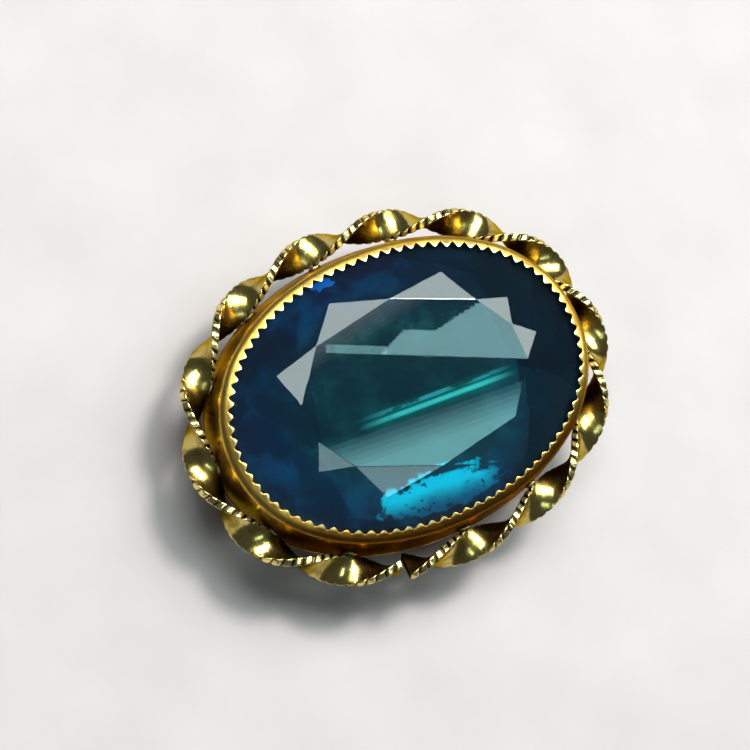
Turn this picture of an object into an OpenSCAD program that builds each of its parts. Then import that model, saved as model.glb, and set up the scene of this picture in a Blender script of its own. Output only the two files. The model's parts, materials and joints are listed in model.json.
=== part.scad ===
// Oval brooch: a faceted paste stone in a saw-toothed collet, framed by a twisted ribbon of
// flat wire, with a hinged pin and a roll-over safety catch on its closed back.
// X runs along the oval, Y across it and Z out of its face. Z = 0 is level with the bottom of
// the catch rings' full circle on the back, and X = Y = 0 is the middle of the oval.

/* [Stone] */
// Length of the stone
stone_length = 18; // [16:0.5:20]
// Width of the stone
stone_width = 13; // [11.5:0.5:14.5]
// Height of the crown, from the girdle to the table
crown_height = 1.45; // [1.2:0.05:1.8]
// Depth of the pavilion, from the girdle to the keel
pavilion_depth = 1.75; // [1.4:0.05:2]
// Thickness of the girdle
girdle_height = 0.14; // [0.08:0.02:0.24]
// Size of the table as a share of the stone
table_share = 0.62; // [0.58:0.01:0.66]
// Distance of the star facets' outer corners as a share of the stone
star_share = 0.77; // [0.74:0.01:0.82]
// Turn of the cut from the long axis of the outline
cut_turn = -6; // [-8:0.5:8]
// Length of the keel line as a share of the stone's length
keel_share = 0.5; // [0.3:0.05:0.6]
// Squareness of the oval outline, where 2 is a true ellipse
outline_power = 2.1; // [2:0.05:2.3]

/* [Setting] */
// Thickness of the collet wall
wall_thickness = 0.2; // [0.15:0.01:0.3]
// Distance that the foot of the collet wall stands out past its top
wall_flare = 0.25; // [0:0.05:0.3]
// Number of saw teeth round the collet
tooth_count = 82; // [60:1:96]
// Length that each tooth reaches in over the stone's edge
tooth_reach = 0.38; // [0.25:0.01:0.45]
// Thickness of the back plate
plate_thickness = 0.3; // [0.2:0.05:0.4]
// Distance that the back plate stands out past the wall
plate_lip = 0.05; // [0:0.05:0.2]
// Width of the bearing ring that the stone sits on
bearing_width = 0.4; // [0.3:0.05:0.5]

/* [Ribbon] */
// Width of the ribbon wire
ribbon_width = 1.4; // [1.3:0.02:1.5]
// Thickness of the ribbon wire
ribbon_thickness = 0.36; // [0.25:0.01:0.45]
// Distance that the ribbon bows out further along the oval's sides than at its ends
ribbon_bow = 0.17; // [0:0.01:0.3]
// Length of ribbon in each half turn of its twist
half_twist = 4.249; // [3.8:0.001:5]
// Place of the seam between the ribbon's ends, as a share of the way round from +X
seam_share = 0.69; // [0.5:0.005:0.9]
// Angle of the ribbon at the seam, where 0 is flat
seam_twist = 36; // [0:1:179]
// Gap between the ribbon's two ends
seam_gap = 0.3; // [0.1:0.05:0.6]

/* [Pin and catch] */
// Distance of the pin above the middle of the oval
pin_offset = 1.5; // [0:0.1:2]
// Height of the pin's axis
pin_height = 1.1; // [1.1:0.05:1.3]
// Diameter of the pin
pin_diameter = 0.7; // [0.6:0.02:0.72]
// Distance of the hinge from the middle of the oval
hinge_distance = 7.4; // [7:0.1:7.6]
// Distance of the catch from the middle of the oval
catch_distance = 6.4; // [6:0.1:6.6]
// Radial play of the pin on its rivet and of the rotor in its rings
running_play = 0.06; // [0.03:0.01:0.08]

/* [Hidden] */
$fn = 48;

// Heights, from the back to the front
plate_low = pin_height + 1.25;
plate_top = plate_low + plate_thickness;
foil_thickness = 0.05;
foil_play = 0.01;
keel_height = plate_top + 0.1;
girdle_low = keel_height + pavilion_depth;
girdle_top = girdle_low + girdle_height;
table_height = girdle_top + crown_height;

// Distances outward from the stone's edge
wall_in = 0.05;
wall_out = wall_in + wall_thickness;
wall_foot = wall_out + wall_flare;
ribbon_mid = wall_foot + ribbon_width / 2 - 0.05;
ribbon_height = plate_low + 0.85;

// A point on the oval at parameter angle t, and the outward direction there
function oval_radius(t) =
    pow(pow(abs(cos(t)), outline_power) + pow(abs(sin(t)), outline_power), -1 / outline_power);
function oval(t, share = 1) =
    share * oval_radius(t) * [stone_length / 2 * cos(t), stone_width / 2 * sin(t)];
function outward(t) =
    let (step = oval(t + 0.5) - oval(t - 0.5))
    [step.y, -step.x] / norm(step);

// The oval moved outward by a distance, as a point or as a whole outline
outline_steps = 96;
function moved_oval(t, distance) = oval(t) + distance * outward(t);
function outline(distance) =
    [for (i = [0 : outline_steps - 1]) moved_oval(360 * i / outline_steps, distance)];

// A point turned about the middle of the oval
function turned(p, angle) = [p.x * cos(angle) - p.y * sin(angle), p.x * sin(angle) + p.y * cos(angle)];

// Side faces of rings of points, with count points in each ring
function side_faces(rings, count, closed) =
    [for (r = [0 : rings - (closed ? 1 : 2)], k = [0 : count - 1], half = [0, 1])
        let (a = r * count, b = ((r + 1) % rings) * count, next = (k + 1) % count)
        half == 0 ? [a + k, a + next, b + next] : [a + k, b + next, b + k]];

// ---- Stone ----

girdle_steps = 64;

// Parameter angles of the main facets, closer together at the oval's ends and the same when
// turned half round
half_cut = [-7, 18, 44, 89, 135];
cut_angles = concat(half_cut, [for (a = half_cut) a + 180]);
main_facets = len(cut_angles);
upper_main = 3;
lower_main = 8;
star_height = girdle_top + 0.76 * crown_height;

// Parameter angle of the star facet after main facet k
function star_angle(k) =
    (cut_angles[k] + cut_angles[(k + 1) % main_facets] + (k + 1 < main_facets ? 0 : 360)) / 2;

// Place in the girdle where main facet k ends
function main_foot(k) =
    (girdle_steps + round((cut_angles[k % main_facets] + cut_turn) * girdle_steps / 360)) % girdle_steps;

// Number of girdle steps under the star facet after main facet k
function star_steps(k) = (girdle_steps + main_foot(k + 1) - main_foot(k)) % girdle_steps;

// The flat table at the top, the stars and main facets round it, and a fan of girdle facets
module crown() {
    table = [for (k = [0 : main_facets - 1])
        let (p = turned(oval(cut_angles[k], table_share), cut_turn)) [p.x, p.y, table_height]];
    stars = [for (k = [0 : main_facets - 1])
        let (p = turned(oval(star_angle(k), star_share), cut_turn))
        [p.x, p.y, star_height]];
    top = [for (j = [0 : girdle_steps - 1])
        let (p = oval(360 * j / girdle_steps)) [p.x, p.y, girdle_top]];
    low = [for (p = top) [p.x, p.y, girdle_low]];
    star_0 = main_facets;
    top_0 = star_0 + main_facets;
    low_0 = top_0 + girdle_steps;
    faces = concat(
        [[for (k = [0 : main_facets - 1]) main_facets - 1 - k]],
        [for (k = [0 : main_facets - 1]) [k, (k + 1) % main_facets, star_0 + k]],
        [for (k = [0 : main_facets - 1]) [k, star_0 + k, top_0 + main_foot(k)]],
        [for (k = [0 : main_facets - 1])
            let (before = (k + main_facets - 1) % main_facets)
            [k, top_0 + main_foot(k), star_0 + before]],
        [for (k = [0 : main_facets - 1], j = [0 : star_steps(k) - 1])
            let (g = (main_foot(k) + j) % girdle_steps)
            [star_0 + k, top_0 + (g + 1) % girdle_steps, top_0 + g]],
        [for (g = [0 : girdle_steps - 1], half = [0, 1])
            let (next = (g + 1) % girdle_steps)
            half == 0 ? [top_0 + g, top_0 + next, low_0 + g] : [top_0 + next, low_0 + next, low_0 + g]],
        [[for (g = [0 : girdle_steps - 1]) low_0 + g]]);
    polyhedron(points = concat(table, stars, top, low), faces = faces);
}

// Facets that fall from the girdle to a keel line along the cut's long axis
module pavilion() {
    keel_end = turned([stone_length / 2 * keel_share, 0], cut_turn);
    rim = [for (j = [0 : girdle_steps - 1])
        let (p = oval(360 * j / girdle_steps)) [p.x, p.y, girdle_low]];
    upper_side = main_foot(upper_main);
    lower_side = main_foot(lower_main);
    right = girdle_steps;
    left = girdle_steps + 1;
    faces = concat(
        [[for (g = [0 : girdle_steps - 1]) girdle_steps - 1 - g]],
        [for (g = [0 : girdle_steps - 1])
            let (end = (g < upper_side || g >= lower_side) ? right : left)
            [g, (g + 1) % girdle_steps, end]],
        [[upper_side, left, right], [lower_side, right, left]]);
    polyhedron(points = concat(rim, [[keel_end.x, keel_end.y, keel_height],
                                     [-keel_end.x, -keel_end.y, keel_height]]),
               faces = faces);
}

module faceted_stone() {
    color([0.03, 0.25, 0.42])
        union() {
            crown();
            pavilion();
        }
}

// Thin reflecting cup under the pavilion
module foil_backing() {
    color([0.35, 0.75, 0.85])
        difference() {
            translate([0, 0, -foil_play - foil_thickness]) pavilion();
            translate([0, 0, -foil_play]) pavilion();
        }
}

// ---- Setting ----

// Profile of the collet at one station, as distance from the stone's edge and height.
// reach runs from 0 between teeth to 1 at a tooth's point.
tooth_root = 0.1;
fold_height = girdle_top + 0.1;
tooth_thickness = 0.1;
tooth_rise = 0.2;
function collet_profile(reach) =
    let (tip = wall_in + tooth_root - reach * (tooth_reach + wall_in + tooth_root),
         lift = 0.12 + reach * tooth_rise)
    [[wall_in + wall_flare, plate_top],
     [wall_foot, plate_top],
     [wall_out, fold_height],
     [wall_out - 0.07, fold_height + 0.14],
     [tip, fold_height + lift + tooth_thickness],
     [tip, fold_height + lift],
     [wall_in, fold_height]];

// Distance along the stone's edge at each degree of parameter angle, and the angle at a share of
// the way round it
edge_arc = [for (i = 0, s = 0; i <= 360; s = s + norm(oval(i + 1) - oval(i)), i = i + 1) [s, i]];
function edge_angle(share) = lookup(share * edge_arc[360][0], edge_arc);

module bezel_collet() {
    stations = 2 * tooth_count;
    count = len(collet_profile(0));
    points = [for (s = [0 : stations - 1])
        let (t = edge_angle(s / stations))
        for (q = collet_profile(s % 2))
            let (p = moved_oval(t, q[0])) [p.x, p.y, q[1]]];
    color([0.62, 0.47, 0.16])
        polyhedron(points = points, faces = side_faces(stations, count, true));
}

// Inner strip that carries the edge of the pavilion
module bearing_ring() {
    ring_top = girdle_low - 0.3;
    color([0.6, 0.46, 0.18])
        translate([0, 0, plate_top])
            linear_extrude(ring_top - plate_top)
                difference() {
                    polygon(outline(wall_in - 0.01));
                    polygon(outline(wall_in - bearing_width));
                }
}

module back_plate() {
    color([0.66, 0.5, 0.2])
        translate([0, 0, plate_low])
            linear_extrude(plate_thickness)
                polygon(outline(wall_foot + plate_lip));
}

// ---- Ribbon ----

// The ribbon's middle line, and the distance along it at each of its steps, from +X
function ribbon_point(t) = moved_oval(t, ribbon_mid + ribbon_bow * pow(sin(t), 2));
ribbon_steps = 216;
ribbon_line = [for (i = [0 : 2 * ribbon_steps]) ribbon_point(360 * i / ribbon_steps)];
ribbon_arc = [for (i = 0, s = 0; i <= 2 * ribbon_steps;
                   s = s + (i < 2 * ribbon_steps ? norm(ribbon_line[i + 1] - ribbon_line[i]) : 0),
                   i = i + 1) s];
ribbon_length = ribbon_arc[ribbon_steps];
ribbon_start = seam_share * ribbon_length + seam_gap / 2;
ribbon_end = (seam_share + 1) * ribbon_length - seam_gap / 2;

// Angle of the ribbon's width above the level, at a distance along it
function twist_at(s) = seam_twist + 180 * (s - ribbon_start) / half_twist;

// The four corners of the ribbon's section at parameter angle t
function ribbon_section(t, twist) =
    let (n = outward(t), p = ribbon_point(t),
         half_w = ribbon_width / 2, half_t = ribbon_thickness / 2)
    [for (c = [[-1, -1], [1, -1], [1, 1], [-1, 1]])
        let (u = c.x * half_w * cos(twist) - c.y * half_t * sin(twist),
             v = c.x * half_w * sin(twist) + c.y * half_t * cos(twist))
        [p.x + u * n.x, p.y + u * n.y, ribbon_height + v]];

// Parameter angle at a distance along the ribbon's middle line
function angle_at(s) = lookup(s, [for (i = [0 : 2 * ribbon_steps])
    [ribbon_arc[i], 360 * i / ribbon_steps]]);

module twisted_ribbon() {
    sections = 180;
    along = [for (i = [0 : sections - 1])
        ribbon_start + (ribbon_end - ribbon_start) * i / (sections - 1)];
    points = [for (s = along) each ribbon_section(angle_at(s), twist_at(s))];
    last = 4 * (sections - 1);
    faces = concat(side_faces(sections, 4, false),
                   [[3, 2, 1, 0], [last, last + 1, last + 2, last + 3]]);
    color([0.72, 0.6, 0.22])
        polyhedron(points = points, faces = faces);
}

// A bead of solder where each flat of the ribbon meets the wall
module solder_joints() {
    bead_radius = 0.28;
    wall_face = wall_foot - wall_flare * (ribbon_height - plate_top) / (fold_height - plate_top);
    first = ceil((twist_at(ribbon_start) - 0.1) / 180);
    last = floor(twist_at(ribbon_end) / 180);
    color([0.6, 0.52, 0.3])
        for (k = [first : last]) {
            s = ribbon_start + (180 * k - seam_twist) / 180 * half_twist;
            p = moved_oval(angle_at(s), wall_face + 0.06);
            translate([p.x, p.y, ribbon_height]) sphere(bead_radius, $fn = 24);
        }
}

// ---- Hinge ----

hinge_x = -hinge_distance;
pin_radius = pin_diameter / 2;
foot_thickness = 0.3;
foot_low = plate_low - foot_thickness;
ear_radius = 0.95;
ear_thickness = 0.35;
eye_radius = 0.75;
eye_width = 0.75;
eye_side_play = 0.08;
ear_gap = eye_width + 2 * eye_side_play;
rivet_radius = 0.3;
rivet_head_radius = 0.5;
rivet_head_height = 0.22;
bracket_width = ear_gap + 2 * ear_thickness;

// A cylinder along Y through the hinge's axis, centred on the pin
module across_hinge(radius, width, y_middle = 0) {
    translate([hinge_x, pin_offset + y_middle + width / 2, pin_height])
        rotate([90, 0, 0])
            cylinder(r = radius, h = width);
}

module hinge_bracket() {
    color([0.64, 0.5, 0.22])
        difference() {
            union() {
                translate([hinge_x - 1.2, pin_offset - bracket_width / 2 - 0.25, foot_low])
                    cube([2.4, bracket_width + 0.5, foot_thickness]);
                for (side = [-1, 1]) {
                    y_mid = side * (ear_gap + ear_thickness) / 2;
                    across_hinge(ear_radius, ear_thickness, y_mid);
                    translate([hinge_x - ear_radius, pin_offset + y_mid - ear_thickness / 2, pin_height])
                        cube([2 * ear_radius, ear_thickness, foot_low + 0.1 - pin_height]);
                }
            }
            across_hinge(rivet_radius + 0.005, bracket_width + 1);
        }
}

// Straight rivet with a bevelled head at each end
module hinge_rivet() {
    color([0.7, 0.58, 0.3]) {
        across_hinge(rivet_radius, bracket_width + 0.02);
        for (side = [-1, 1])
            translate([hinge_x, pin_offset + side * (bracket_width / 2 + 0.01), pin_height])
                rotate([-90 * side, 0, 0])
                    cylinder(r1 = rivet_head_radius, r2 = 0.6 * rivet_head_radius,
                             h = rivet_head_height);
    }
}

// ---- Pin ----

shaft_start = hinge_x + 1.2;
shaft_end = 4.2;
pin_tip = catch_distance + 2.2;

// A cone or cylinder along X on the pin's axis
module along_pin(x0, x1, r0, r1) {
    translate([x0, pin_offset, pin_height])
        rotate([0, 90, 0])
            cylinder(r1 = r0, r2 = r1, h = x1 - x0);
}

module pin_stem() {
    color([0.72, 0.66, 0.5])
        difference() {
            union() {
                across_hinge(eye_radius, eye_width);
                along_pin(hinge_x, shaft_start, eye_width / 2, pin_radius);
                along_pin(shaft_start, shaft_end, pin_radius, pin_radius);
                along_pin(shaft_end, pin_tip, pin_radius, 0.03);
            }
            across_hinge(rivet_radius + running_play, eye_width + 1);
        }
}

// ---- Catch ----

ring_radius = pin_height;
rotor_radius = 0.74;
ring_bore = rotor_radius + running_play;
ring_thickness = 0.35;
ring_gap = 0.75;
slot_width = 0.72;
mouth_width = 0.86;
rotor_length = ring_gap + 2 * ring_thickness + 0.3;
lever_width = 0.6;
lever_thickness = 0.36;
lever_radius = 1.75;
lever_angle = 200;
catch_foot = [2.2, 2.4];

// Turns a shape drawn in the YZ plane, with its first axis along Y, into a slab along X
module across_catch(x_middle, thickness) {
    translate([catch_distance + x_middle - thickness / 2, pin_offset, pin_height])
        rotate([90, 0, 90])
            linear_extrude(thickness)
                children();
}

// Two C rings that open away from the plate, on a foot soldered to it
module catch_base() {
    color([0.64, 0.5, 0.22]) {
        translate([catch_distance - catch_foot.x / 2, pin_offset - catch_foot.y / 2, foot_low])
            cube([catch_foot.x, catch_foot.y, foot_thickness]);
        for (side = [-1, 1])
            across_catch(side * (ring_gap + ring_thickness) / 2, ring_thickness)
                difference() {
                    union() {
                        circle(ring_radius);
                        translate([-0.6, 0]) square([1.2, foot_low + 0.05 - pin_height]);
                    }
                    circle(ring_bore);
                    translate([-mouth_width / 2, -ring_radius - 1])
                        square([mouth_width, ring_radius + 1]);
                }
    }
}

// Slotted barrel that turns in the rings, with a thumb lever between them
module catch_rotor() {
    color([0.7, 0.57, 0.26])
        difference() {
            union() {
                across_catch(0, rotor_length) circle(rotor_radius);
                across_catch(0, lever_width)
                    rotate(lever_angle)
                        union() {
                            translate([0, -lever_thickness / 2])
                                square([lever_radius - lever_thickness / 2, lever_thickness]);
                            translate([lever_radius - lever_thickness / 2, 0])
                                circle(lever_thickness / 2);
                        }
            }
            across_catch(0, rotor_length + 1)
                union() {
                    circle(slot_width / 2);
                    translate([-slot_width / 2, -rotor_radius - 1])
                        square([slot_width, rotor_radius + 1]);
                }
        }
}

faceted_stone();
foil_backing();
bezel_collet();
bearing_ring();
back_plate();
twisted_ribbon();
solder_joints();
hinge_bracket();
hinge_rivet();
pin_stem();
catch_base();
catch_rotor();
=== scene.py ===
"""Oval brooch: a faceted paste stone over foil, a saw-toothed gilt collet, a frame of twisted
ribbon wire with milled edges, and a hinged pin with a roll-over catch on the closed back.
Lengths are in metres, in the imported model's own frame: +X along the oval, +Z out of its face."""
import json
import math
import random

import bmesh
import bpy
from mathutils import Matrix, Vector, noise


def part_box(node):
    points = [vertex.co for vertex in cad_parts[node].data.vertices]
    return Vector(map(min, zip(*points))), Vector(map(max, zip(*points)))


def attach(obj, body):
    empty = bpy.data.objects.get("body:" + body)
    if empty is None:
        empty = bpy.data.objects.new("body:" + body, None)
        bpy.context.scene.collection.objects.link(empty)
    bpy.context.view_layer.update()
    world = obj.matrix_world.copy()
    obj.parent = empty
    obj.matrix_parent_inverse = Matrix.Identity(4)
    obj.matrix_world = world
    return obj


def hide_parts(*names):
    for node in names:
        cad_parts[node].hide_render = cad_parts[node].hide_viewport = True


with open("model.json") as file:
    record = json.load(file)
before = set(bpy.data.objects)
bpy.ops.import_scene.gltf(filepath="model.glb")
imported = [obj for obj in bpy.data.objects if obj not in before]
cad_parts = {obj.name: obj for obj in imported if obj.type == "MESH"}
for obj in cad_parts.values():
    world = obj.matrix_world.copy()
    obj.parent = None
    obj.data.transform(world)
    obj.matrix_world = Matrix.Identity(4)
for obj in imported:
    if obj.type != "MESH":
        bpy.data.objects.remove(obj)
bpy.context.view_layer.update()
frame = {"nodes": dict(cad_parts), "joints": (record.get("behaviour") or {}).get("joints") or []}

MM = 0.001
TAU = 2 * math.pi
WHITE = (1, 1, 1, 1)
random.seed(11)

# ---- Sizes, from the frame ----

stone_low, stone_high = (Vector(c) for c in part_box("faceted_stone"))
collet_low, collet_high = (Vector(c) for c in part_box("bezel_collet"))
ribbon_low, ribbon_high = (Vector(c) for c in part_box("twisted_ribbon"))
plate_low, plate_high = (Vector(c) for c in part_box("back_plate"))
bracket_low, bracket_high = (Vector(c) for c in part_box("hinge_bracket"))
joints = {joint["name"]: joint for joint in frame["joints"]}
hinge_at = Vector(joints["pin_hinge"]["pos_m"])
catch_at = Vector(joints["catch_turn"]["pos_m"])

half_length, half_width = stone_high.x, stone_high.y
table_z, keel_z = stone_high.z, stone_low.z
# How far the collet's wall stands out of the stone's outline: its outside at the foot, and its
# inside and outside at the top
wall_foot = collet_high.x - half_length
wall_in, wall_out = 0.05 * MM, 0.25 * MM
ribbon_half_width = (ribbon_high.z - ribbon_low.z) / 2
ribbon_mid_z = (ribbon_high.z + ribbon_low.z) / 2

# The cut of the stone: shares of its outline, and heights from its keel and its table
OUTLINE_POWER = 2.1
CUT_TURN = math.radians(-6)
TABLE_SHARE = 0.62
KEEL_ENDS = ((0.64, -0.075), (-0.51, -0.195))
PAVILION_DEPTH = 1.75 * MM
CROWN_HEIGHT = 1.45 * MM
girdle_low = keel_z + PAVILION_DEPTH
girdle_top = table_z - CROWN_HEIGHT


def oval(t, share=1.0):
    """A point of the stone's outline at parameter angle t."""
    c, s = math.cos(t), math.sin(t)
    r = (abs(c) ** OUTLINE_POWER + abs(s) ** OUTLINE_POWER) ** (-1 / OUTLINE_POWER)
    return Vector((share * r * half_length * c, share * r * half_width * s))


def outward(t):
    """The outline's outward direction at parameter angle t."""
    step = oval(t + 0.005) - oval(t - 0.005)
    return Vector((step.y, -step.x)).normalized()


def moved_oval(t, distance):
    """The outline's point at parameter angle t, moved out by a distance."""
    return oval(t) + outward(t) * distance


def lerp(a, b, f):
    """The value a share f of the way from a to b."""
    return a + (b - a) * f


# ---- Mesh helpers ----

def shown(name, mesh, smooth):
    """An object that shows a mesh in the scene."""
    if smooth:
        mesh.shade_smooth()
    ob = bpy.data.objects.new(name, mesh)
    bpy.context.scene.collection.objects.link(ob)
    return ob


def mesh_object(name, verts, faces, smooth=True):
    """An object from points and the faces between them."""
    mesh = bpy.data.meshes.new(name)
    mesh.from_pydata([tuple(v) for v in verts], [], faces)
    mesh.validate()
    mesh.update()
    return shown(name, mesh, smooth)


def object_from_bmesh(name, bm, smooth=False):
    """An object from a bmesh, which is freed."""
    bmesh.ops.recalc_face_normals(bm, faces=bm.faces)
    mesh = bpy.data.meshes.new(name)
    bm.to_mesh(mesh)
    bm.free()
    return shown(name, mesh, smooth)


def loft(name, rings, closed=False):
    """A smooth skin over rings of points, closed end to end or capped."""
    count, total = len(rings[0]), len(rings)
    verts = [p for ring in rings for p in ring]
    faces = [(a * count + k, a * count + (k + 1) % count,
              (a + 1) % total * count + (k + 1) % count, (a + 1) % total * count + k)
             for a in range(total if closed else total - 1) for k in range(count)]
    if not closed:
        faces.append(tuple(range(count - 1, -1, -1)))
        faces.append(tuple((total - 1) * count + k for k in range(count)))
    ob = mesh_object(name, verts, faces)
    bm = bmesh.new()
    bm.from_mesh(ob.data)
    bmesh.ops.recalc_face_normals(bm, faces=bm.faces)
    bm.to_mesh(ob.data)
    bm.free()
    return ob


def apply_modifiers(ob):
    """Turn the object's modifiers into its mesh."""
    depsgraph = bpy.context.evaluated_depsgraph_get()
    mesh = bpy.data.meshes.new_from_object(ob.evaluated_get(depsgraph))
    ob.modifiers.clear()
    old, ob.data = ob.data, mesh
    bpy.data.meshes.remove(old)


def bevelled(ob, width, segments=3, angle=30):
    """The object with its edges rounded where they bend by more than an angle in degrees."""
    bevel = ob.modifiers.new("worn_edges", "BEVEL")
    bevel.width, bevel.segments = width, segments
    bevel.limit_method, bevel.angle_limit = "ANGLE", math.radians(angle)
    apply_modifiers(ob)
    ob.data.shade_smooth()
    ob.data.set_sharp_from_angle(angle=math.radians(50))
    return ob


# ---- Node helpers ----

def srgb(r, g, b):
    """A colour given in 0 to 255 display values."""
    return tuple(v / 12.92 if v <= 0.04045 else ((v + 0.055) / 1.055) ** 2.4
                 for v in (r / 255, g / 255, b / 255)) + (1.0,)


class Shader:
    """A material and short ways to add nodes to it."""

    def __init__(self, name):
        self.material = bpy.data.materials.new(name)
        self.material.use_nodes = True
        self.tree = self.material.node_tree
        self.bsdf = self.tree.nodes["Principled BSDF"]
        self.where = self.add("TexCoord").outputs["Object"]

    def add(self, kind, **settings):
        """A new shader node of a kind, with its settings."""
        node = self.tree.nodes.new("ShaderNode" + kind)
        for key, value in settings.items():
            setattr(node, key, value)
        return node

    def link(self, source, target):
        """Link a socket to a target, or give the target a plain value."""
        if hasattr(source, "links"):
            self.tree.links.new(source, target)
        else:
            target.default_value = source

    def noise(self, size, detail=3.0, roughness=0.55, distortion=0.0, vector=None):
        """Noise with lumps of about a size, between 0 and 1."""
        node = self.add("TexNoise")
        self.link(vector or self.where, node.inputs["Vector"])
        node.inputs["Scale"].default_value = 1 / size
        node.inputs["Detail"].default_value = detail
        node.inputs["Roughness"].default_value = roughness
        node.inputs["Distortion"].default_value = distortion
        return node.outputs["Fac"]

    def stretched(self, scale, turn=(0, 0, 0)):
        """The place on the object, scaled and turned, so that noise runs in streaks."""
        node = self.add("Mapping")
        self.link(self.where, node.inputs["Vector"])
        node.inputs["Scale"].default_value = scale
        node.inputs["Rotation"].default_value = turn
        return node.outputs["Vector"]

    def span(self, value, low, high, to_low=0.0, to_high=1.0, smooth=False):
        """A value taken from the range low to high to another range, and held at its ends."""
        node = self.add("MapRange", interpolation_type="SMOOTHSTEP" if smooth else "LINEAR")
        self.link(value, node.inputs["Value"])
        for key, number in zip(("From Min", "From Max", "To Min", "To Max"),
                               (low, high, to_low, to_high)):
            self.link(number, node.inputs[key])
        return node.outputs["Result"]

    def axes(self, vector=None):
        """The x, y and z of a vector, or of the place on the object."""
        node = self.add("SeparateXYZ")
        self.link(vector or self.where, node.inputs["Vector"])
        return [node.outputs[key] for key in "XYZ"]

    def math(self, operation, a, b=0.0, c=0.0):
        """The result of a math node on up to three values."""
        node = self.add("Math", operation=operation)
        for value, socket in zip((a, b, c), node.inputs):
            self.link(value, socket)
        return node.outputs["Value"]

    def mix(self, share, a, b):
        """Colour a turned towards colour b by a share."""
        node = self.add("Mix", data_type="RGBA")
        self.link(share, node.inputs["Factor"])
        self.link(a, node.inputs[6])
        self.link(b, node.inputs[7])
        return node.outputs[2]

    def recess(self, distance):
        """1 in the open, falling towards 0 in a recess of about this size."""
        node = self.add("AmbientOcclusion", samples=6)
        node.inputs["Distance"].default_value = distance
        return node.outputs["AO"]

    def bump(self, height, distance, strength, normal=None):
        """A normal that follows a height, laid over an earlier normal if one is given."""
        node = self.add("Bump")
        node.inputs["Strength"].default_value = strength
        node.inputs["Distance"].default_value = distance
        self.link(height, node.inputs["Height"])
        if normal is not None:
            self.link(normal, node.inputs["Normal"])
        return node.outputs["Normal"]

    def finish(self, color, roughness, normal=None, **values):
        """Link the shader's main sockets, set plain values on others, and give the material."""
        for key, source in (("Base Color", color), ("Roughness", roughness), ("Normal", normal)):
            if source is not None:
                self.link(source, self.bsdf.inputs[key])
        for key, value in values.items():
            self.bsdf.inputs[key.replace("_", " ")].default_value = value
        return self.material


def worn_metal_with_shade(name, bright, dull, dark, recess_size, shine, scratch=0.3, polish_and_shade=None,
               tint=WHITE):
    """Metal that is bright where it rubs, dull in patches and darkened in its recesses by painted
    shade and tarnish. shine is its least roughness and scratch the depth of its scratches. A
    function given for polish and shade, if any, takes the shader and returns a share that is
    polished pale, partly as a painted highlight, or below 0, where it is darkened as painted shade.
    tint colours the metal where it is seen edge on."""
    s = Shader(name)
    patches = s.span(s.noise(0.9 * MM, 4, 0.6, 0.4), 0.42, 0.66, smooth=True)
    fine = s.noise(0.16 * MM, 3, 0.6)
    # Painted shade, with some tarnish: dark in recesses, found by ambient occlusion
    open_share = s.span(s.recess(recess_size), 0.35, 0.95, smooth=True)
    ragged = s.math("ADD", open_share, s.span(fine, 0.3, 0.7, -0.12, 0.12))
    unshaded = s.span(ragged, 0.1, 0.8, smooth=True)
    color = s.mix(unshaded, dark, s.mix(patches, bright, dull))
    specks = s.span(s.noise(0.07 * MM, 2, 0.5), 0.7, 0.76)
    color = s.mix(s.math("MULTIPLY", specks, 0.4), color, dark)
    lines = s.noise(0.05 * MM, 2, 0.5, 0.0, s.stretched((1, 0.08, 0.3), (0, 0, 0.6)))
    rough = s.math("ADD", s.span(patches, 0, 1, shine, shine + 0.10),
                   s.span(lines, 0.35, 0.75, -0.03, 0.06))
    rough = s.math("ADD", rough, s.span(unshaded, 0, 1, 0.25, 0.0))
    if polish_and_shade is not None:
        # Polished pale above 0, partly as a painted highlight; painted shade below 0
        share = polish_and_shade(s)
        color = s.mix(share, color, srgb(255, 236, 168))
        color = s.mix(s.span(share, -0.1, -0.4), color, dark)
    normal = s.bump(s.noise(0.35 * MM, 3, 0.5), 0.012 * MM, 0.4)
    normal = s.bump(lines, 0.002 * MM, scratch, normal)
    return s.finish(color, rough, normal, Metallic=1.0, Specular_Tint=tint)


def edge_polish_and_shade(s):
    """Share of polish on the ribbon's rubbed edges, partly a painted highlight, below 0 in the
    grooves between its beads, where it gives painted shade.
    """
    return s.math("MULTIPLY", s.add("Attribute", attribute_name="bead_polish_and_shade").outputs["Fac"], 0.7)


def tooth_polish_and_shade(s):
    """Share of polish, partly a painted highlight, that rises from the collet's shoulder to the
    points of its teeth. Along the lower side of the oval it falls below 0 as painted shade, and the
    points there are lifted a little as painted highlight."""
    _, y, z = s.axes()
    points = s.span(z, girdle_low + 0.42 * MM, girdle_low + 0.47 * MM, 0.0, 0.9, smooth=True)
    # Painted shade along the lower side of the oval, with painted highlight on the points there
    lower_shade = s.span(y, -1.5 * MM, -5.0 * MM, smooth=True)
    return s.math("SUBTRACT", s.math("MULTIPLY", points, s.span(lower_shade, 0, 1, 1.0, 1.15)),
                  s.math("MULTIPLY", lower_shade, 0.36))


# ---- Materials ----

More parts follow.
